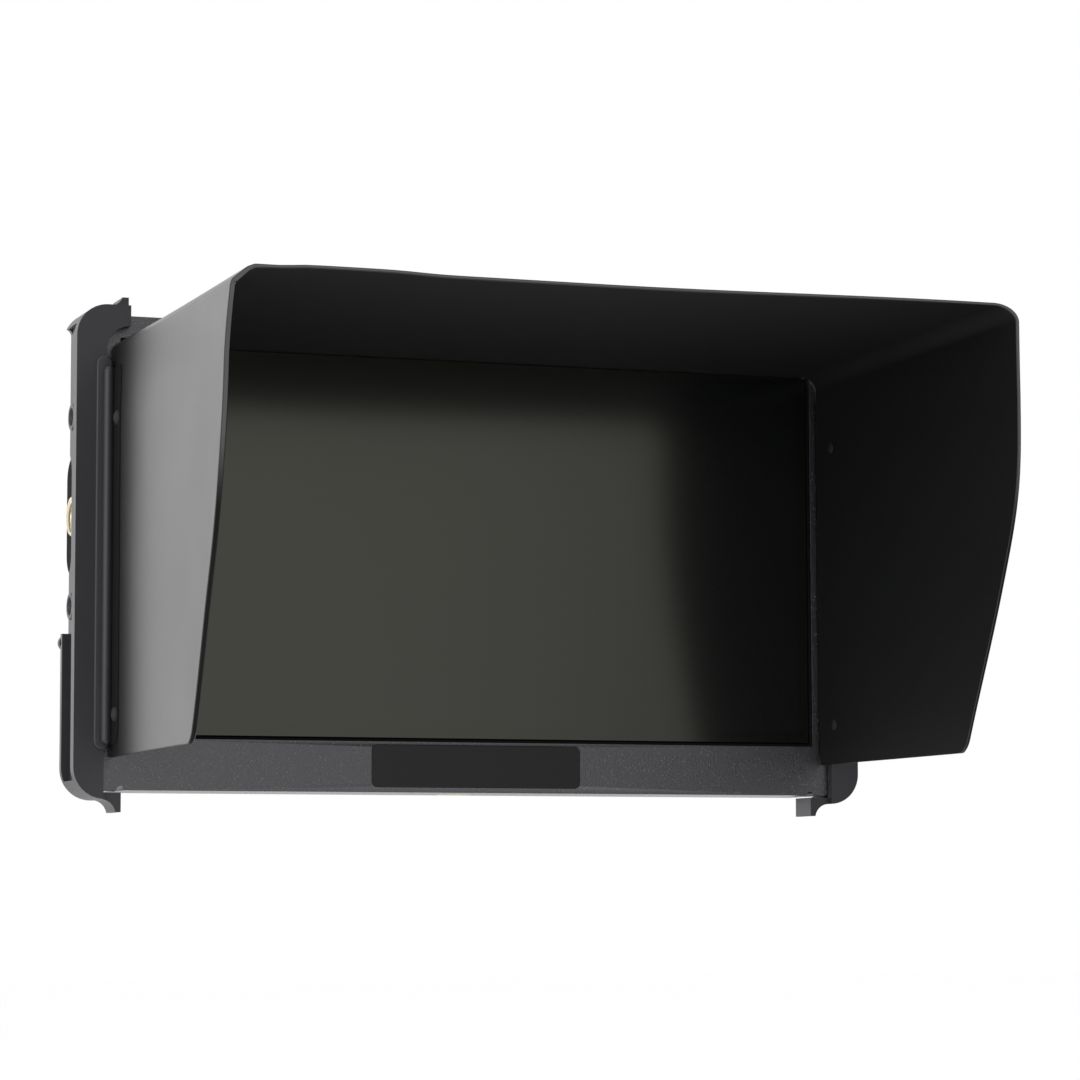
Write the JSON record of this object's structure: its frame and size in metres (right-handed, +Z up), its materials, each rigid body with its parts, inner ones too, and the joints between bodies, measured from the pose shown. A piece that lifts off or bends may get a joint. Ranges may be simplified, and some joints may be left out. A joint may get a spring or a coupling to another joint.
{
  "type": "camera field monitor with sun hood",
  "caption": "Small camera-top field monitor in a slim cast housing, with a clip-on folding sun hood, threaded mounts and a rear battery plate.",
  "frame": {"origin": "centre of the mouth of the 1/4 inch thread in the monitor's underside", "axes": "+X to the viewer's right, screen faces -Y, +Z up along the thread into the monitor"},
  "size_m": [0.1612, 0.1115, 0.0976],
  "materials": {
    "housing": "fine powder coat over cast aluminium",
    "cover_glass": "matt anti-glare",
    "seal": "matt",
    "badge": "smooth",
    "display": "smooth",
    "light_guide": "smooth",
    "tin": "bright",
    "chassis": "satin",
    "board": "solder mask",
    "chip": "matt",
    "screws": "dark",
    "ribbon": "film",
    "block": "black anodised",
    "brass": "turned",
    "keys": "satin",
    "plate": "fine grain",
    "contacts": "gold plated",
    "catch": "satin",
    "spring": "drawn wire",
    "hood_sheet": "satin outside, dull inside",
    "clip": "moulded, satin",
    "rivet": "satin"
  },
  "bodies": {
    "monitor": {"front_bezel": "housing", "cover_glass": "cover_glass", "glass_seal": "seal", "badge_plate": "badge", "lcd_cell": "display", "light_guide": "light_guide", "backlight_tray": "tin", "chassis_frame": "chassis", "chassis_screws": "screws", "main_board": "board", "board_screws": "screws", "processor": "chip", "heat_sink": "chassis", "shield_can": "tin", "panel_ribbon": "ribbon", "rear_cover": "housing", "cover_screws": "screws", "left_mount_block": "block", "right_mount_block": "block", "bottom_mount_block": "block", "left_thread_insert": "brass", "right_thread_insert": "brass", "bottom_thread_insert": "brass", "hdmi_in_socket": "tin", "hdmi_out_socket": "tin", "usb_socket": "tin", "dc_jack": "chip", "headphone_jack": "chip", "key_board": "board", "key_switches": "chip", "battery_plate": "plate", "battery_plate_screws": "screws", "battery_contacts": "contacts", "catch_spring": "spring"},
    "menu_key": {"menu_button": "keys"},
    "left_key": {"left_button": "keys"},
    "right_key": {"right_button": "keys"},
    "power_key": {"power_button": "keys"},
    "catch": {"battery_catch": "catch"},
    "hood": {"hood_top": "hood_sheet"},
    "left_side": {"hood_left_side": "hood_sheet", "left_clip": "clip", "left_rivets": "rivet"},
    "right_side": {"hood_right_side": "hood_sheet", "right_clip": "clip", "right_rivets": "rivet"}
  },
  "joints": [
    {"name": "hood_slide", "type": "slide", "parent": "monitor", "child": "hood", "axis": [0, -1, 0], "range_m": [0, 0.012]},
    {"name": "left_side_swing", "type": "hinge", "parent": "hood", "child": "left_side", "pos_m": [-0.07285, -0.01404, 0.08135], "axis": [0.014, 0.9999, -0.0087], "range_deg": [0, 2.5], "stiffness_Nm_per_rad": 0.6},
    {"name": "right_side_swing", "type": "hinge", "parent": "hood", "child": "right_side", "pos_m": [0.07285, -0.01404, 0.08135], "axis": [0.014, -0.9999, 0.0087], "range_deg": [0, 2.5], "stiffness_Nm_per_rad": 0.6},
    {"name": "menu_key_press", "type": "slide", "parent": "monitor", "child": "menu_key", "axis": [0, 0, -1], "range_m": [0, 0.0005], "stiffness_N_per_m": 400, "springref_m": -0.0005},
    {"name": "left_key_press", "type": "slide", "parent": "monitor", "child": "left_key", "axis": [0, 0, -1], "range_m": [0, 0.0005], "stiffness_N_per_m": 400, "springref_m": -0.0005},
    {"name": "right_key_press", "type": "slide", "parent": "monitor", "child": "right_key", "axis": [0, 0, -1], "range_m": [0, 0.0005], "stiffness_N_per_m": 400, "springref_m": -0.0005},
    {"name": "power_key_press", "type": "slide", "parent": "monitor", "child": "power_key", "axis": [0, 0, -1], "range_m": [0, 0.0005], "stiffness_N_per_m": 400, "springref_m": -0.0005},
    {"name": "catch_press", "type": "slide", "parent": "monitor", "child": "catch", "axis": [0, -1, 0], "range_m": [0, 0.0016], "stiffness_N_per_m": 500, "springref_m": -0.002, "deforming": ["catch_spring"]}
  ]
}
